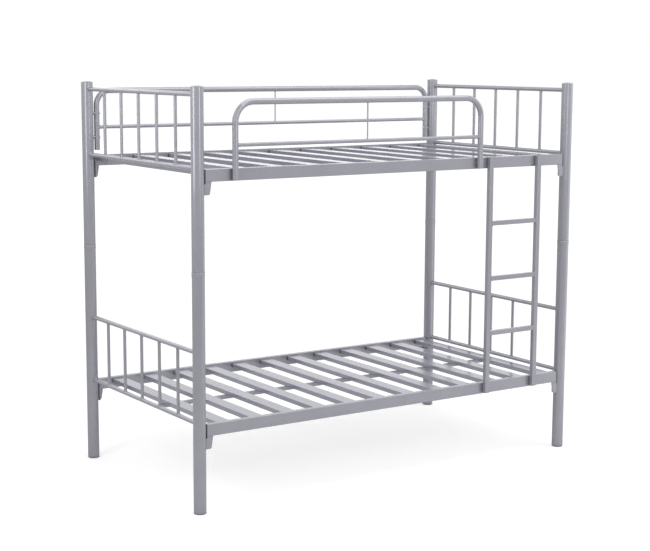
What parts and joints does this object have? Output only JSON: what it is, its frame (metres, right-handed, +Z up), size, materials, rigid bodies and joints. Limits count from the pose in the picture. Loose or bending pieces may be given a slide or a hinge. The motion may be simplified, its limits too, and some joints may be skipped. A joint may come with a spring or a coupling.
{
  "type": "bunk bed",
  "caption": "Two-tier metal bed with round posts, slatted decks, spindle end panels, guard hoops along the upper deck and a bolted ladder.",
  "frame": {"origin": "on the floor, under the middle of the bed's outer box", "axes": "+X along the bed towards the ladder end, -Y to the ladder side, +Z up"},
  "size_m": [1.9938, 1.0773, 1.72],
  "materials": {
    "frame_coat": "silver-grey powder coat, semi-gloss",
    "slat_coat": "silver-grey powder coat, semi-gloss",
    "cap_plastic": "silver-grey moulded plastic, satin",
    "foot_plastic": "grey moulded plastic, satin",
    "zinc_steel": "zinc plated, satin"
  },
  "bodies": {
    "root": {"back_guard_bolts": "zinc_steel", "back_guard_end_plugs": "foot_plastic", "back_guard_hoop": "frame_coat", "back_guard_inserts": "zinc_steel", "back_guard_mid_bar": "frame_coat", "back_guard_spacers": "frame_coat", "back_guard_wire": "frame_coat", "back_left_lower_post": "frame_coat", "back_left_upper_post": "frame_coat", "back_right_lower_post": "frame_coat", "back_right_upper_post": "frame_coat", "front_guard_bolts": "zinc_steel", "front_guard_end_plugs": "foot_plastic", "front_guard_hoop": "frame_coat", "front_guard_inserts": "zinc_steel", "front_guard_mid_bar": "frame_coat", "front_guard_spacers": "frame_coat", "front_guard_wire": "frame_coat", "front_left_lower_post": "frame_coat", "front_left_upper_post": "frame_coat", "front_right_lower_post": "frame_coat", "front_right_upper_post": "frame_coat", "ladder_bolts": "zinc_steel", "ladder_bottom_rung": "frame_coat", "ladder_end_plugs": "foot_plastic", "ladder_inserts": "zinc_steel", "ladder_left_stile": "frame_coat", "ladder_middle_rung": "frame_coat", "ladder_right_stile": "frame_coat", "ladder_spacers": "frame_coat", "ladder_top_rung": "frame_coat", "lower_back_rail": "frame_coat", "lower_back_rail_brackets": "frame_coat", "lower_front_rail": "frame_coat", "lower_front_rail_brackets": "frame_coat", "lower_left_end_bottom_tube": "frame_coat", "lower_left_end_spindles": "frame_coat", "lower_left_end_top_tube": "frame_coat", "lower_right_end_bottom_tube": "frame_coat", "lower_right_end_spindles": "frame_coat", "lower_right_end_top_tube": "frame_coat", "lower_slat_support": "frame_coat", "lower_slats": "slat_coat", "post_foot_plugs": "foot_plastic", "post_spigots": "frame_coat", "post_top_caps": "cap_plastic", "upper_back_rail": "frame_coat", "upper_back_rail_brackets": "frame_coat", "upper_front_rail": "frame_coat", "upper_front_rail_brackets": "frame_coat", "upper_left_end_bottom_tube": "frame_coat", "upper_left_end_spindles": "frame_coat", "upper_left_end_top_tube": "frame_coat", "upper_right_end_bottom_tube": "frame_coat", "upper_right_end_spindles": "frame_coat", "upper_right_end_top_tube": "frame_coat", "upper_slat_support": "frame_coat", "upper_slats": "slat_coat"}
  },
  "joints": []
}
